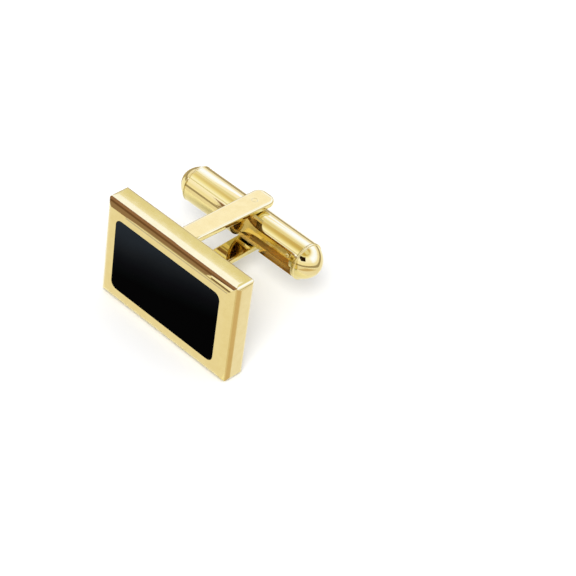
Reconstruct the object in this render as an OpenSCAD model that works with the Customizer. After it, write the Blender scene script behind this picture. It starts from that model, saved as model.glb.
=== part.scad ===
// Rectangular swivel-bar cufflink: a gold-plated brass case with a flush black stone,
// and a forked post that carries a torpedo-shaped toggle on a riveted pin.
// Frame: X runs along the long side of the face, Y from the face back to the toggle, Z up.
// The origin is the middle of the bottom side of the case.

/* [Face plate] */
// Long side of the face
plate_w = 18; // [16:0.5:24]
// Short side of the face
plate_h = 12; // [11:0.5:16]
// Thickness of the case, front to back
plate_t = 3; // [2.4:0.1:4]
// Rounding along the four front edges
front_round = 1; // [0.6:0.05:1.2]
// Rounding along the four back edges
back_round = 0.65; // [0.2:0.05:0.7]
// Rounding of the four corner edges
corner_round = 0.5; // [0.2:0.05:0.7]
// Flat border between the front rounding and the stone
border_w = 0.7; // [0.5:0.05:1.2]

/* [Stone] */
// Thickness of the stone slab
stone_t = 1.2; // [0.8:0.1:1.4]
// Corner radius of the stone
stone_corner = 0.75; // [0.4:0.05:1.5]
// Gap between the stone and the wall of its pocket
stone_gap = 0.04; // [0.02:0.01:0.08]
// Thickness of the cement bed under the stone
cement_t = 0.1; // [0.05:0.01:0.2]

/* [Post] */
// How far the post stands off the middle of the face, along X
post_shift = -2.3; // [-3:0.1:3]
// Distance from the back of the case to the pivot
pivot_reach = 11.4; // [11:0.1:14]
// Width of an arm at the foot
arm_w_root = 2.3; // [1.8:0.1:2.8]
// Width of an arm at the pivot end
arm_w_tip = 2.6; // [2.3:0.1:3.4]
// Thickness of an arm
arm_t = 0.75; // [0.6:0.05:1]
// Lean of an arm towards the toggle, in degrees
arm_lean = 1.5; // [0:0.25:1.5]
// How far an arm reaches past the pivot
arm_past = 2.1; // [1.6:0.05:2.4]
// Radius that rounds the outer edge at an arm's end
arm_end_round = 0.35; // [0.2:0.05:0.5]
// Corner radius at the end of an arm, seen from above
arm_tip_r = 1.05; // [0.4:0.05:1.1]
// Thickness of the foot against the case
foot_t = 1.1; // [0.8:0.1:1.3]
// How far the foot stands out past the arms all round
foot_lip = 0.35; // [0.2:0.05:0.8]
// Thickness of the solder film under the foot
solder_t = 0.08; // [0.04:0.01:0.15]

/* [Toggle] */
// Diameter of the toggle
toggle_d = 4.1; // [3.4:0.1:4.6]
// Length of the tube between the two end caps
tube_len = 15.6; // [14:0.1:16.4]
// Wall of the tube
tube_wall = 0.5; // [0.3:0.05:0.6]
// Play between the toggle and each arm
toggle_play = 0.1; // [0.05:0.01:0.2]
// How far the pivot sits from the middle of the tube
pivot_offset = 0.1; // [0:0.05:0.3]
// Length of a nose past its bead
nose_len = 1.65; // [1.4:0.05:1.8]
// Radius of the nose's round tip, as a share of the radius at its root
nose_tip_share = 0.4; // [0.3:0.01:0.5]
// Angle of the nose's flank at its root, from the toggle's axis
nose_root_slope = 20; // [12:1:24]
// How far the root of the nose sits inside the face of the tube
nose_step = 0.12; // [0.1:0.01:0.3]
// Width of the bead between tube and nose
bead_w = 0.25; // [0.2:0.05:0.4]
// How far the bead stands out past the tube
bead_proud = 0.03; // [0.02:0.01:0.08]

/* [Slot in the toggle] */
// Half the length of the window at the hub, on the closed side
window_left = 1.1; // [0.9:0.1:1.6]
// Half the length of the window at the hub, on the slotted side
window_right = 1.75; // [1.3:0.05:2]
// Depth that is left between the pin's middle and the window
window_depth = 0.7; // [0.6:0.05:1]
// Width of the slot
slot_w = 2.78; // [2.4:0.02:3]
// Metal left between the end of the slot and the end of the tube
slot_end_wall = 0.15; // [0.1:0.05:1]
// Radius where the window runs into the slot
slot_flare_r = 1.55; // [0.8:0.05:1.7]
// Radius in the two corners at the end of the slot
slot_corner_r = 0.3; // [0.2:0.05:0.6]

/* [Pin and cam] */
// Diameter of the pivot pin
pin_d = 0.6; // [0.5:0.05:0.7]
// Running clearance of the pin in the tube, on the radius
pin_play = 0.03; // [0.02:0.005:0.05]
// Clearance of pressed and riveted pieces, on the radius
press_gap = 0.01; // [0.005:0.001:0.02]
// Width of the cam across its flats
cam_flat = 0.9; // [0.86:0.01:1]
// Diameter over the rounded corners of the cam
cam_d = 1.02; // [1:0.01:1.14]
// Height of the cam
cam_h = 2.5; // [2:0.1:2.6]

/* [Leaf spring] */
// Thickness of the leaf
leaf_t = 0.15; // [0.1:0.01:0.2]
// Width of the leaf along the slot
leaf_w = 0.9; // [0.7:0.05:1.2]
// Width of the head that rides on the cam
leaf_head_w = 2.6; // [2:0.1:2.6]
// Slope of the leaf's two halves away from its ridge, in degrees
leaf_slope = 7; // [4:0.5:8]
// Radius that leads the head into the narrow part of the leaf
leaf_neck_r = 3.9; // [2:0.1:4]
// Where the narrow part of the leaf begins, from the pivot
leaf_neck_x = 1.8; // [1.5:0.1:2.4]
// Gap between the leaf and the corners of the cam
leaf_gap = 0.03; // [0.02:0.01:0.06]
// Length of the seat that holds the leaf's fixed end
seat_len = 1.3; // [1:0.1:2]
// Width of the seat
seat_w = 1.2; // [1:0.1:1.6]
// Shank diameter of the rivet through leaf and seat
rivet_d = 0.36; // [0.3:0.02:0.44]
// Head diameter of the rivet
rivet_head_d = 0.6; // [0.5:0.05:0.8]
// Height of the rivet's domed head
rivet_head_h = 0.2; // [0.16:0.02:0.24]

/* [Hidden] */
$fn = 96;

gold = "#e3c46a";
pale_gold = "#ecd58c";
stone_black = "#0b0c0f";
cement_grey = "#55524c";
solder_grey = "#b9b6ae";

// Overrun of every cut past the face that it goes through
over = 0.5;

// Case and stone
pocket_w = plate_w - 2 * (front_round + border_w);
pocket_h = plate_h - 2 * (front_round + border_w);
pocket_depth = stone_t + cement_t;
plate_mid_z = plate_h / 2;
front_y = -plate_t / 2;
back_y = plate_t / 2;

// Post
pivot_y = back_y + pivot_reach;
toggle_r = toggle_d / 2;
arm_in = toggle_r + toggle_play;
foot_y = back_y + solder_t;
arm_start = -(pivot_y - foot_y - foot_t / 2);
arm_root_out = arm_in + arm_t - arm_start * sin(arm_lean);
foot_w = arm_w_root + 2 * foot_lip;
foot_h = 2 * (arm_root_out + foot_lip);
foot_corner = foot_lip;

// Toggle, measured from the pivot along its own axis
tube_in_r = toggle_r - tube_wall;
tube_right = tube_len / 2 - pivot_offset;
tube_left = -tube_len / 2 - pivot_offset;
nose_r = toggle_r - nose_step;
spigot_len = 0.9;

// Leaf, in the toggle's frame: y is zero at the pin's middle, and the ridge points away from the pin
leaf_in_y = -(cam_d / 2 + leaf_gap);
ridge_in_y = leaf_in_y - leaf_head_w / 2 * tan(leaf_slope);
ridge_out_y = ridge_in_y - leaf_t;
leaf_free_x = -window_left - leaf_t;
seat_right = tube_right - spigot_len - slot_end_wall;
seat_left = seat_right - seat_len;
seat_level = ridge_in_y + leaf_w / 2 * tan(leaf_slope);
rivet_x = (seat_left + seat_right) / 2;
rivet_deep = tube_in_r / 2;

// Section of a slab: length along the first axis, depth along the second, round corners at both faces
module slab_profile(length, depth, near_r, far_r) {
    union() {
        translate([-length / 2, near_r]) square([length, depth - near_r - far_r]);
        translate([-length / 2 + near_r, 0]) square([length - 2 * near_r, depth / 2]);
        translate([-length / 2 + far_r, depth / 2]) square([length - 2 * far_r, depth / 2]);
        for (s = [-1, 1]) {
            translate([s * (length / 2 - near_r), near_r]) circle(near_r);
            translate([s * (length / 2 - far_r), depth - far_r]) circle(far_r);
        }
    }
}

// Rectangle about its middle with four round corners
module round_rect(w, h, r) {
    union() {
        square([w - 2 * r, h], center = true);
        square([w, h - 2 * r], center = true);
        for (sx = [-1, 1], sy = [-1, 1]) translate([sx * (w / 2 - r), sy * (h / 2 - r)]) circle(r);
    }
}

// Rounded slab that stands on the XZ plane and reaches depth along +Y from y0
module standing_slab(w, h, r, y0, depth) {
    translate([0, y0 + depth, plate_mid_z]) rotate([90, 0, 0])
        linear_extrude(depth) round_rect(w, h, r);
}

module face_plate() {
    color(gold) difference() {
        intersection() {
            translate([0, front_y, 0]) linear_extrude(plate_h)
                slab_profile(plate_w, plate_t, front_round, back_round);
            translate([-plate_w / 2, front_y, plate_mid_z]) rotate([90, 0, 90])
                linear_extrude(plate_w) rotate(-90) slab_profile(plate_h, plate_t, front_round, back_round);
            standing_slab(plate_w, plate_h, corner_round, front_y, plate_t);
        }
        standing_slab(pocket_w, pocket_h, stone_corner + stone_gap, front_y - over, pocket_depth + over);
    }
}

module inlay_cement() {
    color(cement_grey)
        standing_slab(pocket_w - 2 * stone_gap, pocket_h - 2 * stone_gap, stone_corner,
                      front_y + stone_t, cement_t);
}

module onyx_inlay() {
    color(stone_black)
        standing_slab(pocket_w - 2 * stone_gap, pocket_h - 2 * stone_gap, stone_corner, front_y, stone_t);
}

// Moves its children from the pivot's frame to the case's frame
module at_pivot() {
    translate([post_shift, pivot_y, plate_mid_z]) children();
}

module solder_film() {
    color(solder_grey) translate([post_shift, back_y + solder_t, plate_mid_z]) rotate([90, 0, 0])
        linear_extrude(solder_t) round_rect(foot_w, foot_h, foot_corner);
}

// Plan of one arm: it widens from the foot to the pivot and has round corners at its end
module arm_plan() {
    union() {
        polygon([[-arm_w_root / 2, arm_start], [arm_w_root / 2, arm_start],
                 [arm_w_tip / 2, arm_past - arm_tip_r], [-arm_w_tip / 2, arm_past - arm_tip_r]]);
        translate([-arm_w_tip / 2 + arm_tip_r, 0]) square([arm_w_tip - 2 * arm_tip_r, arm_past]);
        for (s = [-1, 1])
            translate([s * (arm_w_tip / 2 - arm_tip_r), arm_past - arm_tip_r]) circle(arm_tip_r);
    }
}

// Side view of one arm, as distance along the post and height above its inner face
module arm_side() {
    round_mid = arm_past - arm_end_round;
    union() {
        translate([arm_start, 0]) square([round_mid - arm_start, arm_t]);
        translate([arm_start, 0]) square([arm_past - arm_start, arm_t - arm_end_round]);
        translate([round_mid, arm_t - arm_end_round]) circle(arm_end_round);
    }
}

module arm() {
    translate([0, 0, arm_in]) rotate([-arm_lean, 0, 0]) intersection() {
        linear_extrude(arm_t) arm_plan();
        translate([-arm_w_tip, 0, 0]) rotate([90, 0, 90]) linear_extrude(2 * arm_w_tip) arm_side();
    }
}

module post_fork() {
    color(pale_gold) at_pivot() difference() {
        union() {
            arm();
            mirror([0, 0, 1]) arm();
            translate([0, arm_start + foot_t / 2, 0]) rotate([90, 0, 0])
                linear_extrude(foot_t) round_rect(foot_w, foot_h, foot_corner);
        }
        translate([0, 0, -arm_root_out]) cylinder(h = 2 * arm_root_out, r = pin_d / 2 + press_gap);
    }
}

// The pin's ends are flush with the lowest spot of the arms' outer faces over the bore
module pivot_pin() {
    pin_half = arm_in + arm_t * cos(arm_lean) - pin_d / 2 * sin(arm_lean);
    color(pale_gold) at_pivot() translate([0, 0, -pin_half]) cylinder(h = 2 * pin_half, r = pin_d / 2);
}

module cam_block() {
    color(gold) at_pivot() translate([0, 0, -cam_h / 2]) difference() {
        intersection() {
            cylinder(h = cam_h, r = cam_d / 2);
            translate([-cam_flat / 2, -cam_flat / 2, 0]) cube([cam_flat, cam_flat, cam_h]);
        }
        translate([0, 0, -over]) cylinder(h = cam_h + 2 * over, r = pin_d / 2 + press_gap);
    }
}

// Opening on the side that faces the case: a window at the hub that runs out into a long slot
module slot_outline() {
    slot_right = tube_right - slot_end_wall;
    slot_half = slot_w / 2;
    tall = toggle_r + over;
    flare = slot_flare_r;
    corner = slot_corner_r;
    union() {
        translate([-window_left, -tall]) square([window_left + window_right, 2 * tall]);
        translate([0, -slot_half]) square([slot_right - corner, slot_w]);
        translate([0, -slot_half + corner]) square([slot_right, slot_w - 2 * corner]);
        for (s = [-1, 1]) {
            translate([slot_right - corner, s * (slot_half - corner)]) circle(corner);
            difference() {
                translate([window_right, s * (slot_half + flare / 2)]) square([2 * flare, flare], center = true);
                translate([window_right + flare, s * (slot_half + flare)]) circle(flare);
            }
        }
    }
}

// Turns its children from Z to the toggle's axis and starts them at x0
module along_axis(x0) {
    translate([x0, 0, 0]) rotate([0, 90, 0]) children();
}

module toggle_tube() {
    color(gold) at_pivot() difference() {
        along_axis(tube_left) cylinder(h = tube_len, r = toggle_r);
        along_axis(tube_left - over) cylinder(h = tube_len + 2 * over, r = tube_in_r);
        translate([0, -window_depth, 0]) rotate([90, 0, 0])
            linear_extrude(toggle_r) slot_outline();
        translate([0, 0, -toggle_r - over]) cylinder(h = toggle_d + 2 * over, r = pin_d / 2 + pin_play);
    }
}

// Half section of a cap, as radius and length: spigot inside the tube, bead, then an arched flank and a round tip
module cap_profile() {
    bead_r = bead_w / 2;
    bead_mid = toggle_r + bead_proud - bead_r;
    tip_r = nose_tip_share * nose_r;
    tip_mid = nose_len - tip_r;
    flank_r = (pow(nose_r, 2) + pow(tip_mid, 2) - pow(tip_r, 2))
        / (nose_r * cos(nose_root_slope) - tip_mid * sin(nose_root_slope) - tip_r) / 2;
    flank_mid = [nose_r - flank_r * cos(nose_root_slope), -flank_r * sin(nose_root_slope)];
    flank_end = flank_mid[1] + flank_r * (tip_mid - flank_mid[1]) / (flank_r - tip_r);
    union() {
        translate([0, -spigot_len]) square([tube_in_r - press_gap, spigot_len + bead_r]);
        square([bead_mid, bead_w]);
        translate([bead_mid, bead_r]) circle(bead_r);
        translate([0, bead_w]) intersection() {
            translate(flank_mid) circle(flank_r);
            square([nose_r, flank_end]);
        }
        translate([0, bead_w]) intersection() {
            translate([0, tip_mid]) circle(tip_r);
            translate([0, flank_end]) square([tip_r, tip_r]);
        }
    }
}

module nose_cap() {
    rotate_extrude() cap_profile();
}

module nose_cap_left() {
    color(gold) at_pivot() translate([tube_left, 0, 0]) rotate([0, -90, 0]) nose_cap();
}

module nose_cap_right() {
    color(gold) at_pivot() translate([tube_right, 0, 0]) rotate([0, 90, 0]) nose_cap();
}

// Plan of the leaf, as distance from the pivot and width: a broad head that runs into a narrow strip
module leaf_plan() {
    head_half = leaf_head_w / 2;
    strip_half = leaf_w / 2;
    difference() {
        translate([leaf_free_x, -head_half]) square([leaf_neck_x - leaf_free_x, leaf_head_w]);
        for (s = [-1, 1]) translate([leaf_neck_x, s * (strip_half + leaf_neck_r)]) circle(leaf_neck_r);
    }
    translate([leaf_free_x, -strip_half]) square([seat_right - leaf_free_x, leaf_w]);
}

// Section across the leaf, as width and height above the ridge
module leaf_section() {
    half = leaf_head_w / 2;
    drop = half * tan(leaf_slope);
    polygon([[-half, drop], [0, 0], [half, drop], [half, drop + leaf_t], [0, leaf_t], [-half, drop + leaf_t]]);
}

module leaf_spring() {
    color(pale_gold) at_pivot() difference() {
        intersection() {
            translate([leaf_free_x, ridge_out_y, 0]) rotate([90, 0, 90]) linear_extrude(tube_right - leaf_free_x)
                rotate(-90) leaf_section();
            translate([0, toggle_r, 0]) rotate([90, 0, 0]) linear_extrude(toggle_d) leaf_plan();
        }
        rivet_bore(toggle_r);
    }
}

// Bore for the rivet's shank, from deep in the toggle out past its face
module rivet_bore(deep) {
    translate([rivet_x, deep, 0]) rotate([90, 0, 0]) cylinder(h = toggle_d, r = rivet_d / 2 + press_gap);
}

module spring_seat() {
    color(gold) at_pivot() difference() {
        intersection() {
            along_axis(seat_left) cylinder(h = seat_len, r = tube_in_r - press_gap);
            translate([seat_left, seat_level, -seat_w / 2]) cube([seat_len, toggle_r - seat_level, seat_w]);
        }
        rivet_bore(rivet_deep);
    }
}

module spring_rivet() {
    dome_r = (pow(rivet_head_d / 2, 2) + pow(rivet_head_h, 2)) / (2 * rivet_head_h);
    color(gold) at_pivot() union() {
        translate([rivet_x, rivet_deep, 0]) rotate([90, 0, 0])
            cylinder(h = rivet_deep - ridge_out_y, r = rivet_d / 2);
        intersection() {
            translate([rivet_x, ridge_out_y + dome_r - rivet_head_h, 0]) sphere(dome_r);
            translate([rivet_x, ridge_out_y, 0]) rotate([90, 0, 0])
                cylinder(h = rivet_head_h, r = rivet_head_d / 2);
        }
    }
}

face_plate();
inlay_cement();
onyx_inlay();
solder_film();
post_fork();
pivot_pin();
cam_block();
toggle_tube();
nose_cap_left();
nose_cap_right();
leaf_spring();
spring_seat();
spring_rivet();
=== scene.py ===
"""Studio scene of a swivel-bar cufflink: gold-plated case with a black stone, forked post and toggle."""

import math

import bpy
from mathutils import Matrix, Vector


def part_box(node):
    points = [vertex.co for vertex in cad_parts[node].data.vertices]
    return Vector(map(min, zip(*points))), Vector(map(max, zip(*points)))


MM = 0.001

# Camera, found by fitting the case, the arms and the toggle to the photograph
VIEW_AZIMUTH = 38.60
VIEW_ELEVATION = 39.84
VIEW_ROLL = 8.98
VIEW_DISTANCE = 194.17 * MM
LENS = 125.0
SENSOR = 36.0
FRAME_PX = 576
FACE_CENTRE_PX = (163.62, 290.22)
CLIP_NEAR = 10 * MM
CLIP_FAR = 10.0

# White table under a lamp near the camera, which keeps the shadows short
TABLE_SIZE = 1.6
TABLE_WHITE = "#e9e9e9"
LAMP_AZIMUTH = 34.0
LAMP_ELEVATION = 50.0
LAMP_DISTANCE = 0.4
LAMP_SIZE = 0.2
LAMP_POWER = 1.15
FILL_STRENGTH = 0.95

# Room that only reflections show, by height: a softbox behind, a softer one before and a dim ceiling
ROOM_STRENGTH = 3.7
ROOM_RADIUS = 0.75
ROOM_BLEND = 0.12
ROOM_BEHIND = [
    (0.0, "#8a8890"),
    (0.15, "#928f97"),
    (0.29, "#97969f"),
    (0.40, "#9da6dc"),
    (0.58, "#9facf6"),
    (0.71, "#9faae6"),
    (0.80, "#9a9cb4"),
    (0.85, "#8c867d"),
    (0.88, "#7d705c"),
    (1.0, "#7b6e49"),
]
ROOM_BEFORE = [
    (0.0, "#a29f9f"),
    (0.10, "#9a9799"),
    (0.29, "#969497"),
    (0.42, "#9b9bad"),
    (0.54, "#9c9db4"),
    (0.64, "#9da0be"),
    (0.73, "#9da1b6"),
    (0.80, "#96958f"),
    (0.85, "#847a63"),
    (0.88, "#7b6d48"),
    (1.0, "#7b6e49"),
]

# Cards overhead for the case's top: colour, strength and how far behind the face each shows, in mm
CARD_HEIGHT = 30 * MM
CASE_CARDS = [
    ("case_card_1", "#f2f4ff", 1.29, 1.1, 1.35),
    ("case_card_2", "#fffbf9", 1.06, 1.35, 1.65),
    ("case_card_3", "#fbf8ee", 1.0, 1.65, 3.3),
]
CASE_CARDS_PAST_LEFT = 6 * MM
CASE_CARDS_SHORT_RIGHT = 0.2 * MM

# Card overhead for the case's right end, by how far out and how far behind the face it starts, in mm
END_CARD = [(0, 1.1), (0.5, -4.9), (20, -4.9)]
END_CARD_BACK = 3.3
END_CARD_COLOUR = "#fbf8ee"

# Card overhead for the post's upper arm
POST_CARD_COLOUR = "#9d9db3"
POST_CARD_FRONT = 0.5 * MM
POST_CARD_BACK = 3 * MM
POST_CARD_SIDE = 1.5 * MM

# Rounding of the case's edges, as built, and how far from a rounding's axis its cards hang
CASE_ROUND = 1.0 * MM
CASE_BACK_ROUND = 0.65 * MM
EDGE_CARD_AWAY = 6.0 * MM
EDGE_CARD_POINTS = 7

# Cards for the case's top front edge, each by places along it in mm and the angles of its normal there
EDGE_CARDS = [
    ("bright_card", "#9fa6d4", ROOM_STRENGTH, [(-10, -1, 25), (0, -1, 25), (1, -1, 27), (10, -1, 27)]),
    ("brown_card", "#9f7b73", 1.0, [(-13, 25, 40), (0, 25, 40), (1, 27, 40), (9, 27, 40)]),
    ("dark_card", "#785949", 1.0, [(-13, 40, 50), (5.5, 40, 50), (9, 40, 44)]),
    (
        "lit_brown_card",
        "#a0857b",
        1.0,
        [(-13, 50, 80), (-6, 50, 76), (-3.2, 50, 67), (5.2, 50, 66), (5.8, 50, 52)],
    ),
    ("crease_card", "#785949", 1.0, [(5.8, 59, 66), (9, 60, 65)]),
    ("grey_card", "#d5cfe4", 1.0, [(-6, 78, 85), (9, 78, 84)]),
]

# Card for the case's top back edge, by the same measures
BACK_EDGE_COLOUR = "#f8f5ee"
BACK_EDGE_CARD = [(-13, -22, 0), (9, -22, 0)]

# Cards on the table for the case's right front edge, by the angles of its normal
SIDE_CARDS = [
    ("pale_ochre_card_1", "#f0e2d4", [54, 58, 61]),
    ("ochre_card", "#e3cbb5", [61, 67, 73, 79, 84]),
    ("pale_ochre_card_2", "#ecdac8", [84, 87, 90]),
]
SIDE_CARD_LIFT = 0.05 * MM
SIDE_CARD_NEAR = 0.2 * MM
SIDE_CARD_FAR = 30 * MM

# Dark square at the camera, as its lens would show in the stone and the caps
LENS_CARD_COLOUR = "#2a1d10"
LENS_CARD_HALF = 42 * MM

# Cards that lie on the table for the toggle's back, the case's front and its right side, in mm
TABLE_CARDS = [
    ("amber_card", "#c8b794", 1.0, (-80, -14), (15, 70)),
    ("front_card", "#fdf7fa", 1.05, (-60, 60), (-60, -1.7)),
    ("side_card", "#f3f0ff", 1.18, (9.2, 60), (-0.4, 60)),
]
TABLE_CARD_LIFT = 0.04 * MM

# Low grey ring far round the part, for the dim line between the table and the room
HORIZON_COLOUR = "#b5aaa0"
HORIZON_RADIUS = 70 * MM
HORIZON_FOOT = 0.1 * MM
HORIZON_TOP = 13 * MM
HORIZON_STEPS = 48

# Edges eased by polishing, in the shader for the case and the tube and in the mesh for the fork
CASE_EDGE = 0.07 * MM
TUBE_EDGE = 0.05 * MM
EDGE_SAMPLES = 8
ARM_ROUND = 0.25 * MM
ARM_SEGMENTS = 4
SHARP_ANGLE = 40
FLAT_ANGLE = 1
WELD_GAP = 0.0005 * MM
PIN_KEPT = 0.7 * MM

# Toggle tube as built, by radius, and how deep the buffing and the bore's own skin, with its painted light,
# reach
TUBE_OUTER = 2.05 * MM
TUBE_BORE = 1.55 * MM
SKIN_AND_PAINTED_LIGHT_DEPTH = 0.1 * MM

# Sizes of the marks that each finish leaves
RIPPLE_SIZE = 2.2 * MM
HAZE_SIZE = 0.9 * MM
TUMBLED_GRAIN = 0.12 * MM
ROLLED_LENGTH = 4 * MM
ROLLED_WIDTH = 0.1 * MM
CEMENT_GRAIN = 0.4 * MM
SOLDER_FROST = 0.15 * MM
MARK_DEPTH = 0.01 * MM

# Painted sheen on the stone, a faint blue-grey highlight at its upper left: it fades downwards and a little
# to the right over these distances from its corner, in mm
PAINTED_SHEEN_WISP_SIZE = 4 * MM
PAINTED_SHEEN_LEAN = 0.27
PAINTED_SHEEN_UNEVEN = 0.8
PAINTED_SHEEN_START = -0.4
PAINTED_SHEEN_END = 7.6
STONE_AND_SHEEN_TONES = [
    (0.0, "#20252a"),
    (0.33, "#1a1e22"),
    (0.53, "#121416"),
    (0.63, "#0b0d0f"),
    (0.74, "#060608"),
    (0.88, "#020303"),
    (0.98, "#000000"),
]


def linear(code):
    """An sRGB hex colour as linear RGBA."""
    parts = [int(code[i : i + 2], 16) / 255 for i in (1, 3, 5)]
    return tuple(c / 12.92 if c <= 0.04045 else ((c + 0.055) / 1.055) ** 2.4 for c in parts) + (1.0,)


def add(tree, kind, settings=None, **links):
    """Adds a node, sets what settings names, and links or sets inputs by name or, as i0 and i1, by number."""
    node = tree.nodes.new(kind)
    for name, value in (settings or {}).items():
        setattr(node, name, value)
    for name, value in links.items():
        numbered = name[0] == "i" and name[1:].isdigit()
        socket = node.inputs[int(name[1:]) if numbered else name.replace("_", " ")]
        if isinstance(value, bpy.types.NodeSocket):
            tree.links.new(value, socket)
        else:
            socket.default_value = value
    return node


def stops(ramp_node, places):
    """Sets a colour ramp's stops from pairs of place and colour."""
    ramp = ramp_node.color_ramp
    while len(ramp.elements) > 1:
        ramp.elements.remove(ramp.elements[-1])
    for i, (place, colour) in enumerate(places):
        element = ramp.elements[0] if i == 0 else ramp.elements.new(place)
        element.position = place
        element.color = linear(colour)


def new_material(name):
    """An empty node material and its tree."""
    material = bpy.data.materials.new(name)
    material.use_nodes = True
    material.node_tree.nodes.clear()
    return material, material.node_tree


def close_material(tree, **sockets):
    """Ends a material in one principled shader."""
    shader = add(tree, "ShaderNodeBsdfPrincipled", **sockets)
    add(tree, "ShaderNodeOutputMaterial", Surface=shader.outputs["BSDF"])


def buffed_haze(tree, place):
    """The haze that a felt wheel leaves on plating, and the roughness that goes with it."""
    haze = add(tree, "ShaderNodeTexNoise", Vector=place, Scale=1 / HAZE_SIZE, Detail=3.0, Roughness=0.6)
    roughness = add(tree, "ShaderNodeMapRange", Value=haze.outputs["Fac"], To_Min=0.04, To_Max=0.1)
    return haze.outputs["Fac"], roughness.outputs["Result"]


def polished_gold():
    """Gold plating over brass, buffed on a felt wheel that eases the edges: a mirror with a faint ripple."""
    material, tree = new_material("polished_gold")
    place = add(tree, "ShaderNodeTexCoord").outputs["Object"]
    ripple = add(tree, "ShaderNodeTexNoise", Vector=place, Scale=1 / RIPPLE_SIZE, Detail=1.0, Roughness=0.4)
    haze, roughness = buffed_haze(tree, place)
    tint = add(tree, "ShaderNodeValToRGB", Fac=haze)
    stops(tint, [(0.3, "#e2d18b"), (0.7, "#e6d793")])
    eased = add(tree, "ShaderNodeBevel", {"samples": EDGE_SAMPLES}, Radius=CASE_EDGE).outputs["Normal"]
    height = ripple.outputs["Fac"]
    bump = add(tree, "ShaderNodeBump", Strength=0.08, Distance=MARK_DEPTH, Height=height, Normal=eased)
    close_material(
        tree,
        Base_Color=tint.outputs["Color"],
        Metallic=1.0,
        Roughness=roughness,
        Normal=bump.outputs["Normal"],
    )
    return material


def toggle_gold(axis):
    """The same plating on drawn tube: buffed outside, with the dull drawn skin left in the bore and slot and
    a bright amber tint there as painted light.
    """
    material, tree = new_material("toggle_gold")
    place = add(tree, "ShaderNodeTexCoord").outputs["Object"]
    from_axis = add(tree, "ShaderNodeVectorMath", {"operation": "SUBTRACT"}, i0=place, i1=axis)
    offset = from_axis.outputs["Vector"]
    across = add(tree, "ShaderNodeVectorMath", {"operation": "MULTIPLY"}, i0=offset, i1=(0, 1, 1))
    distance = add(tree, "ShaderNodeVectorMath", {"operation": "LENGTH"}, i0=across.outputs["Vector"])
    outside = add(
        tree,
        "ShaderNodeMapRange",
        Value=distance.outputs["Value"],
        From_Min=TUBE_BORE + SKIN_AND_PAINTED_LIGHT_DEPTH,
        From_Max=TUBE_OUTER - SKIN_AND_PAINTED_LIGHT_DEPTH,
    ).outputs["Result"]
    buffed = buffed_haze(tree, place)[1]
    roughness = add(tree, "ShaderNodeMix", i0=outside, i2=0.25, i3=buffed)
    metallic = add(tree, "ShaderNodeMapRange", Value=outside, To_Min=0.7, To_Max=1.0)
    # Bore and slot tinted a bright amber: painted light that lifts the shade inside the tube; their lower
    # metallic and higher roughness are the skin's own dullness
    tint = add(tree, "ShaderNodeValToRGB", Fac=outside)
    stops(tint, [(0.0, "#efc862"), (1.0, "#e4d48f")])
    eased = add(tree, "ShaderNodeBevel", {"samples": EDGE_SAMPLES}, Radius=TUBE_EDGE)
    close_material(
        tree,
        Base_Color=tint.outputs["Color"],
        Metallic=metallic.outputs["Result"],
        Roughness=roughness.outputs["Result"],
        Normal=eased.outputs["Normal"],
    )
    return material


def tumbled_plate():
    """Gold-plated steel, tumbled and not buffed, for the parts inside the tube: dull, with a fine grain."""
    material, tree = new_material("tumbled_plate")
    place = add(tree, "ShaderNodeTexCoord").outputs["Object"]
    grain = add(tree, "ShaderNodeTexNoise", Vector=place, Scale=1 / TUMBLED_GRAIN, Detail=2.0).outputs["Fac"]
    tint = add(tree, "ShaderNodeValToRGB", Fac=grain)
    stops(tint, [(0.3, "#d8ab46"), (0.7, "#e2ba58")])
    roughness = add(tree, "ShaderNodeMapRange", Value=grain, To_Min=0.3, To_Max=0.45).outputs["Result"]
    close_material(tree, Base_Color=tint.outputs["Color"], Metallic=0.5, Roughness=roughness)
    return material


def spring_strip():
    """Gold-plated spring strip: rolled, so fine lines run along it and soften its shine."""
    material, tree = new_material("spring_strip")
    place = add(tree, "ShaderNodeTexCoord").outputs["Object"]
    finer = (1 / ROLLED_LENGTH, 1 / ROLLED_WIDTH, 1 / ROLLED_WIDTH)
    along = add(tree, "ShaderNodeMapping", Vector=place, Scale=finer).outputs["Vector"]
    lines = add(tree, "ShaderNodeTexNoise", Vector=along, Scale=1.0, Detail=2.0).outputs["Fac"]
    tint = add(tree, "ShaderNodeValToRGB", Fac=lines)
    stops(tint, [(0.3, "#eaca6c"), (0.7, "#efd27a")])
    roughness = add(tree, "ShaderNodeMapRange", Value=lines, To_Min=0.12, To_Max=0.24)
    bump = add(tree, "ShaderNodeBump", Strength=0.15, Distance=MARK_DEPTH, Height=lines)
    close_material(
        tree,
        Base_Color=tint.outputs["Color"],
        Metallic=1.0,
        Roughness=roughness.outputs["Result"],
        Normal=bump.outputs["Normal"],
    )
    return material


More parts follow.
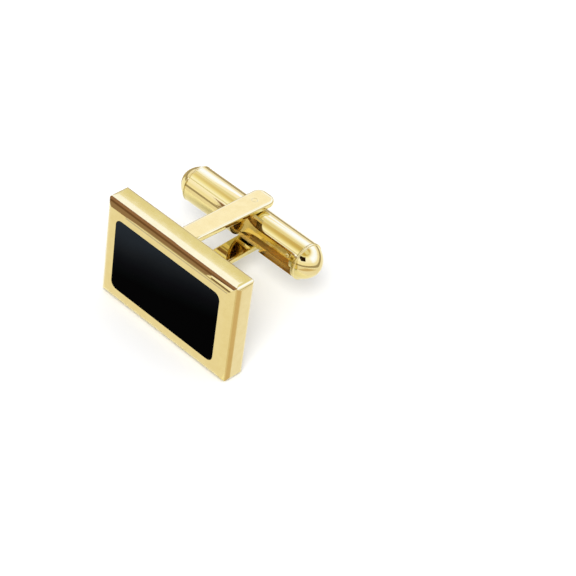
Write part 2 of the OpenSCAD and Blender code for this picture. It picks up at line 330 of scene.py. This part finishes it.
def black_onyx(corner):
    """Black onyx, lapped and polished flat: near black, with a faint blue-grey painted sheen at its upper
    left.
    """
    material, tree = new_material("black_onyx")
    place = add(tree, "ShaderNodeTexCoord").outputs["Object"]
    sheen_wisps = add(tree, "ShaderNodeTexNoise", Vector=place, Scale=1 / PAINTED_SHEEN_WISP_SIZE, Detail=3.0, Roughness=0.5)
    # Painted sheen: the stone is lighter and bluer towards its upper left corner and fades to black away from
    # it
    from_corner = add(tree, "ShaderNodeVectorMath", {"operation": "SUBTRACT"}, i0=place, i1=corner)
    sheen_fall = add(
        tree,
        "ShaderNodeVectorMath",
        {"operation": "DOT_PRODUCT"},
        i0=from_corner.outputs["Vector"],
        i1=(PAINTED_SHEEN_LEAN / MM, 0, -1 / MM),
    )
    uneven = add(
        tree,
        "ShaderNodeMath",
        {"operation": "MULTIPLY_ADD"},
        i0=sheen_wisps.outputs["Fac"],
        i1=PAINTED_SHEEN_UNEVEN,
        i2=sheen_fall.outputs["Value"],
    ).outputs["Value"]
    sheen_fade = add(tree, "ShaderNodeMapRange", Value=uneven, From_Min=PAINTED_SHEEN_START, From_Max=PAINTED_SHEEN_END)
    tint = add(tree, "ShaderNodeValToRGB", Fac=sheen_fade.outputs["Result"])
    stops(tint, STONE_AND_SHEEN_TONES)
    colour = tint.outputs["Color"]
    close_material(tree, Base_Color=colour, Roughness=0.1, IOR=1.54, Specular_IOR_Level=0.003)
    return material


def set_cement():
    """Two-part epoxy cement, set: grey, dull, slightly uneven."""
    material, tree = new_material("set_cement")
    place = add(tree, "ShaderNodeTexCoord").outputs["Object"]
    grain = add(tree, "ShaderNodeTexNoise", Vector=place, Scale=1 / CEMENT_GRAIN, Detail=3.0)
    tint = add(tree, "ShaderNodeValToRGB", Fac=grain.outputs["Fac"])
    stops(tint, [(0.3, "#4c4944"), (0.7, "#5e5a53")])
    close_material(tree, Base_Color=tint.outputs["Color"], Roughness=0.7)
    return material


def silver_solder():
    """Silver solder, flowed and cooled in air: a pale grey-yellow metal skin, finely frosted."""
    material, tree = new_material("silver_solder")
    place = add(tree, "ShaderNodeTexCoord").outputs["Object"]
    frost = add(tree, "ShaderNodeTexNoise", Vector=place, Scale=1 / SOLDER_FROST, Detail=3.0)
    roughness = add(tree, "ShaderNodeMapRange", Value=frost.outputs["Fac"], To_Min=0.25, To_Max=0.4)
    close_material(tree, Base_Color=linear("#cfc7a8"), Metallic=1.0, Roughness=roughness.outputs["Result"])
    return material


def rounded_edges(pin):
    """Marks the sharp edges for rounding, but not those round the pin, which is ground flush."""
    group = bpy.data.node_groups.new("rounded_edges", "GeometryNodeTree")
    group.interface.new_socket("Geometry", in_out="INPUT", socket_type="NodeSocketGeometry")
    group.interface.new_socket("Geometry", in_out="OUTPUT", socket_type="NodeSocketGeometry")
    solid = add(group, "NodeGroupInput").outputs["Geometry"]
    turn = add(group, "GeometryNodeInputMeshEdgeAngle").outputs["Unsigned Angle"]
    place = add(group, "GeometryNodeInputPosition").outputs["Position"]
    from_pin = add(group, "ShaderNodeVectorMath", {"operation": "SUBTRACT"}, i0=place, i1=pin)
    offset = from_pin.outputs["Vector"]
    across = add(group, "ShaderNodeVectorMath", {"operation": "MULTIPLY"}, i0=offset, i1=(1, 1, 0))
    away = add(group, "ShaderNodeVectorMath", {"operation": "LENGTH"}, i0=across.outputs["Vector"])
    over = {"operation": "GREATER_THAN"}
    clear = add(group, "ShaderNodeMath", over, i0=away.outputs["Value"], i1=PIN_KEPT).outputs["Value"]
    sharp = add(group, "ShaderNodeMath", over, i0=turn, i1=math.radians(SHARP_ANGLE)).outputs["Value"]
    weight = add(group, "ShaderNodeMath", {"operation": "MULTIPLY"}, i0=clear, i1=sharp).outputs["Value"]
    marked = add(
        group,
        "GeometryNodeStoreNamedAttribute",
        {"data_type": "FLOAT", "domain": "EDGE"},
        Geometry=solid,
        Name="bevel_weight_edge",
        Value=weight,
    )
    add(group, "NodeGroupOutput", Geometry=marked.outputs["Geometry"])
    return group


def soften(node, edges):
    """Rounds a node's marked edges as the polishing wheel does, after its split faces are joined again."""
    weld = node.modifiers.new("joined_faces", "WELD")
    weld.merge_threshold = WELD_GAP
    whole = node.modifiers.new("whole_flats", "DECIMATE")
    whole.decimate_type = "DISSOLVE"
    whole.angle_limit = math.radians(FLAT_ANGLE)
    marks = node.modifiers.new("rounded_edges", "NODES")
    marks.node_group = edges
    bevel = node.modifiers.new("polished_edge", "BEVEL")
    bevel.width = ARM_ROUND
    bevel.segments = ARM_SEGMENTS
    bevel.limit_method = "WEIGHT"
    bevel.use_clamp_overlap = False
    bevel.loop_slide = False
    bevel.harden_normals = True
    tris = node.modifiers.new("small_faces", "TRIANGULATE")
    tris.keep_custom_normals = True


def dress(nodes):
    """Gives every CAD node its material and rounds the fork's edges."""
    low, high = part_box("pivot_pin")
    soften(nodes["post_fork"], rounded_edges((low + high) / 2))
    gold = polished_gold()
    inner = tumbled_plate()
    low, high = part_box("toggle_tube")
    stone_low, stone_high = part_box("onyx_inlay")
    finishes = {
        "face_plate": gold,
        "post_fork": gold,
        "pivot_pin": gold,
        "cam_block": inner,
        "toggle_tube": toggle_gold((low + high) / 2),
        "nose_cap_left": gold,
        "nose_cap_right": gold,
        "spring_seat": inner,
        "spring_rivet": gold,
        "leaf_spring": spring_strip(),
        "onyx_inlay": black_onyx((stone_low.x, stone_low.y, stone_high.z)),
        "inlay_cement": set_cement(),
        "solder_film": silver_solder(),
    }
    for name, material in finishes.items():
        nodes[name].data.materials.clear()
        nodes[name].data.materials.append(material)


def bearing(azimuth, elevation):
    """The way towards something seen at this azimuth and elevation, where azimuth 0 is in front."""
    a = math.radians(azimuth)
    e = math.radians(elevation)
    return Vector((math.sin(a) * math.cos(e), -math.cos(a) * math.cos(e), math.sin(e)))


def photo_camera(face_centre):
    """Places the camera so that the face's centre is seen at its pixel of the photograph."""
    a = math.radians(VIEW_AZIMUTH)
    r = math.radians(VIEW_ROLL)
    back = bearing(VIEW_AZIMUTH, VIEW_ELEVATION)
    level = Vector((math.cos(a), math.sin(a), 0))
    upright = back.cross(level)
    right = math.cos(r) * level + math.sin(r) * upright
    up = -math.sin(r) * level + math.cos(r) * upright
    focal_px = LENS / SENSOR * FRAME_PX
    across = (FACE_CENTRE_PX[0] - FRAME_PX / 2) / focal_px * VIEW_DISTANCE
    down = (FACE_CENTRE_PX[1] - FRAME_PX / 2) / focal_px * VIEW_DISTANCE
    camera = bpy.data.objects.new("camera", bpy.data.cameras.new("camera"))
    camera.data.lens = LENS
    camera.data.sensor_width = SENSOR
    camera.data.clip_start = CLIP_NEAR
    camera.data.clip_end = CLIP_FAR
    camera.rotation_mode = "QUATERNION"
    camera.location = face_centre + back * VIEW_DISTANCE - right * across + up * down
    camera.rotation_quaternion = Matrix((right, up, back)).transposed().to_quaternion()
    bpy.context.scene.collection.objects.link(camera)
    bpy.context.scene.camera = camera
    return camera.location.copy()


def only_mirrored(piece):
    """Keeps a studio piece out of the picture, the shadows and the light: only reflections show it."""
    piece.visible_camera = False
    piece.visible_shadow = False
    piece.visible_diffuse = False
    piece.visible_transmission = False


def card(name, rows, colour, strength=1.0):
    """A studio card from rows of points."""
    mesh = bpy.data.meshes.new(name)
    wide = len(rows[0])
    faces = [
        (i * wide + j, i * wide + j + 1, (i + 1) * wide + j + 1, (i + 1) * wide + j)
        for i in range(len(rows) - 1)
        for j in range(wide - 1)
    ]
    mesh.from_pydata([point for row in rows for point in row], [], faces)
    piece = bpy.data.objects.new(name, mesh)
    bpy.context.scene.collection.objects.link(piece)
    material, tree = new_material(name)
    glow = add(tree, "ShaderNodeEmission", Color=linear(colour), Strength=strength)
    add(tree, "ShaderNodeOutputMaterial", Surface=glow.outputs["Emission"])
    mesh.materials.append(material)
    only_mirrored(piece)


def mirrored(eye, point, normal):
    """The way that a surface at this point sends the camera's line of sight."""
    sight = (eye - point).normalized()
    return 2 * normal.dot(sight) * normal - sight


def seen_at(eye, x, y, z):
    """Where a level surface at this point mirrors the cards that hang overhead."""
    point = Vector((x, y, z))
    way = mirrored(eye, point, Vector((0, 0, 1)))
    return tuple(point + way * ((CARD_HEIGHT - z) / way.z))


def overhead_cards(eye):
    """Cards that give the case's top and the upper arm their even tones."""
    low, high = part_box("face_plate")
    left = low.x - CASE_CARDS_PAST_LEFT
    right = high.x - CASE_CARDS_SHORT_RIGHT
    for name, colour, strength, near, far in CASE_CARDS:
        rows = [[seen_at(eye, x, low.y + y * MM, high.z) for y in (near, far)] for x in (left, right)]
        card(name, rows, colour, strength)
    rows = [
        [seen_at(eye, right + out * MM, low.y + y * MM, high.z) for y in (near, END_CARD_BACK)]
        for out, near in END_CARD
    ]
    card("case_end_card", rows, END_CARD_COLOUR)

    low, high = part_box("post_fork")
    rows = [
        [seen_at(eye, x, y, high.z) for y in (low.y + POST_CARD_FRONT, high.y + POST_CARD_BACK)]
        for x in (low.x - POST_CARD_SIDE, high.x + POST_CARD_SIDE)
    ]
    card("post_card", rows, POST_CARD_COLOUR, ROOM_STRENGTH)


def edge_strip(eye, centre, rounding, stations):
    """Points on a tube round one of the case's top edges, where its rounding mirrors them to the camera."""
    rows = []
    for x, first, last in stations:
        row = []
        for i in range(EDGE_CARD_POINTS):
            angle = math.radians(first + (last - first) * i / (EDGE_CARD_POINTS - 1))
            normal = Vector((0, -math.sin(angle), math.cos(angle)))
            start = Vector((x * MM, centre.y, centre.z)) + rounding * normal
            way = mirrored(eye, start, normal)
            across = way.y ** 2 + way.z ** 2
            along = rounding * normal.dot(way)
            span = (math.sqrt(along ** 2 + across * (EDGE_CARD_AWAY ** 2 - rounding ** 2)) - along) / across
            row.append(tuple(start + way * span))
        rows.append(row)
    return rows


def edge_cards(eye):
    """Cards that give the case's top edges and its right front edge their bands."""
    low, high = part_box("face_plate")
    edge = Vector((0, low.y + CASE_ROUND, high.z - CASE_ROUND))
    for name, colour, strength, stations in EDGE_CARDS:
        card(name, edge_strip(eye, edge, CASE_ROUND, stations), colour, strength)
    edge = Vector((0, high.y - CASE_BACK_ROUND, high.z - CASE_BACK_ROUND))
    card("back_edge_card", edge_strip(eye, edge, CASE_BACK_ROUND, BACK_EDGE_CARD), BACK_EDGE_COLOUR)

    edge = Vector((high.x - CASE_ROUND, low.y + CASE_ROUND, SIDE_CARD_LIFT))
    half_way_up = Vector((0, 0, high.z / 2))
    for name, colour, angles in SIDE_CARDS:
        rays = []
        for degrees in angles:
            angle = math.radians(degrees)
            normal = Vector((math.sin(angle), -math.cos(angle), 0))
            start = edge + normal * CASE_ROUND
            way = mirrored(eye, start + half_way_up, normal)
            way.z = 0
            rays.append([tuple(start + way * SIDE_CARD_NEAR), tuple(start + way * SIDE_CARD_FAR)])
        card(name, rays, colour)


def far_cards(eye):
    """The dark lens, the toned parts of the table and the line of the horizon."""
    back = eye.normalized()
    level = Vector((-back.y, back.x, 0)).normalized()
    upright = back.cross(level)
    ends = (-LENS_CARD_HALF, LENS_CARD_HALF)
    card("lens_card", [[tuple(eye + level * x + upright * y) for x in ends] for y in ends], LENS_CARD_COLOUR)

    for name, colour, strength, across, deep in TABLE_CARDS:
        card(name, [[(x * MM, y * MM, TABLE_CARD_LIFT) for y in deep] for x in across], colour, strength)

    ring = []
    for i in range(HORIZON_STEPS + 1):
        turn = 2 * math.pi * i / HORIZON_STEPS
        x = HORIZON_RADIUS * math.cos(turn)
        y = HORIZON_RADIUS * math.sin(turn)
        ring.append([(x, y, HORIZON_FOOT), (x, y, HORIZON_TOP)])
    card("horizon_card", ring, HORIZON_COLOUR)


def white_table():
    """Matt white table, painted, so that it shows a shadow and no reflection."""
    bpy.ops.mesh.primitive_plane_add(size=TABLE_SIZE, location=(0, 0, 0))
    table = bpy.context.object
    table.name = "table"
    material, tree = new_material("white_table")
    close_material(tree, Base_Color=linear(TABLE_WHITE), Roughness=0.6, Specular_IOR_Level=0.0)
    table.data.materials.append(material)


def soft_light():
    """A soft lamp near the camera for the shadow, and an even white fill."""
    light = bpy.data.lights.new("lamp", "AREA")
    light.shape = "DISK"
    light.size = LAMP_SIZE
    light.energy = LAMP_POWER
    lamp = bpy.data.objects.new("lamp", light)
    toward = bearing(LAMP_AZIMUTH, LAMP_ELEVATION)
    lamp.location = toward * LAMP_DISTANCE
    lamp.rotation_mode = "QUATERNION"
    lamp.rotation_quaternion = toward.to_track_quat("Z", "Y")
    lamp.visible_glossy = False
    bpy.context.scene.collection.objects.link(lamp)

    world = bpy.data.worlds.new("fill")
    bpy.context.scene.world = world
    world.use_nodes = True
    world.node_tree.nodes.clear()
    fill = add(world.node_tree, "ShaderNodeBackground", Color=linear("#ffffff"), Strength=FILL_STRENGTH)
    add(world.node_tree, "ShaderNodeOutputWorld", Surface=fill.outputs["Background"])


def mirrored_room():
    """The room that the metal reflects, brighter and bluer behind than before."""
    bpy.ops.mesh.primitive_uv_sphere_add(segments=48, ring_count=24, radius=ROOM_RADIUS)
    room = bpy.context.object
    room.name = "room"
    only_mirrored(room)
    material, tree = new_material("room")
    place = add(tree, "ShaderNodeTexCoord").outputs["Object"]
    toward = add(tree, "ShaderNodeVectorMath", {"operation": "NORMALIZE"}, i0=place)
    split = add(tree, "ShaderNodeSeparateXYZ", Vector=toward.outputs["Vector"])
    behind = add(tree, "ShaderNodeValToRGB", Fac=split.outputs["Z"])
    stops(behind, ROOM_BEHIND)
    before = add(tree, "ShaderNodeValToRGB", Fac=split.outputs["Z"])
    stops(before, ROOM_BEFORE)
    side = add(
        tree,
        "ShaderNodeMapRange",
        Value=split.outputs["Y"],
        From_Min=-ROOM_BLEND,
        From_Max=ROOM_BLEND,
    )
    wall = add(
        tree,
        "ShaderNodeMix",
        {"data_type": "RGBA"},
        i0=side.outputs["Result"],
        i6=before.outputs["Color"],
        i7=behind.outputs["Color"],
    )
    glow = add(tree, "ShaderNodeEmission", Color=wall.outputs[2], Strength=ROOM_STRENGTH)
    add(tree, "ShaderNodeOutputMaterial", Surface=glow.outputs["Emission"])
    room.data.materials.append(material)


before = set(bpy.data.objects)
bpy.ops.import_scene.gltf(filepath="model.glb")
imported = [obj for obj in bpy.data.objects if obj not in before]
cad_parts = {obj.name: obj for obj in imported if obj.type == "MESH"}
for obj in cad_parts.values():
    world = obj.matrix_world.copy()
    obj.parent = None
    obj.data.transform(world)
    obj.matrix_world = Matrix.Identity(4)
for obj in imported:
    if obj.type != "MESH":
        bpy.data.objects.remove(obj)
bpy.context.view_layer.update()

low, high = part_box("onyx_inlay")
eye = photo_camera(Vector(((low.x + high.x) / 2, low.y, (low.z + high.z) / 2)))
dress(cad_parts)
white_table()
soft_light()
mirrored_room()
overhead_cards(eye)
edge_cards(eye)
far_cards(eye)
bpy.context.scene.view_settings.view_transform = "Standard"
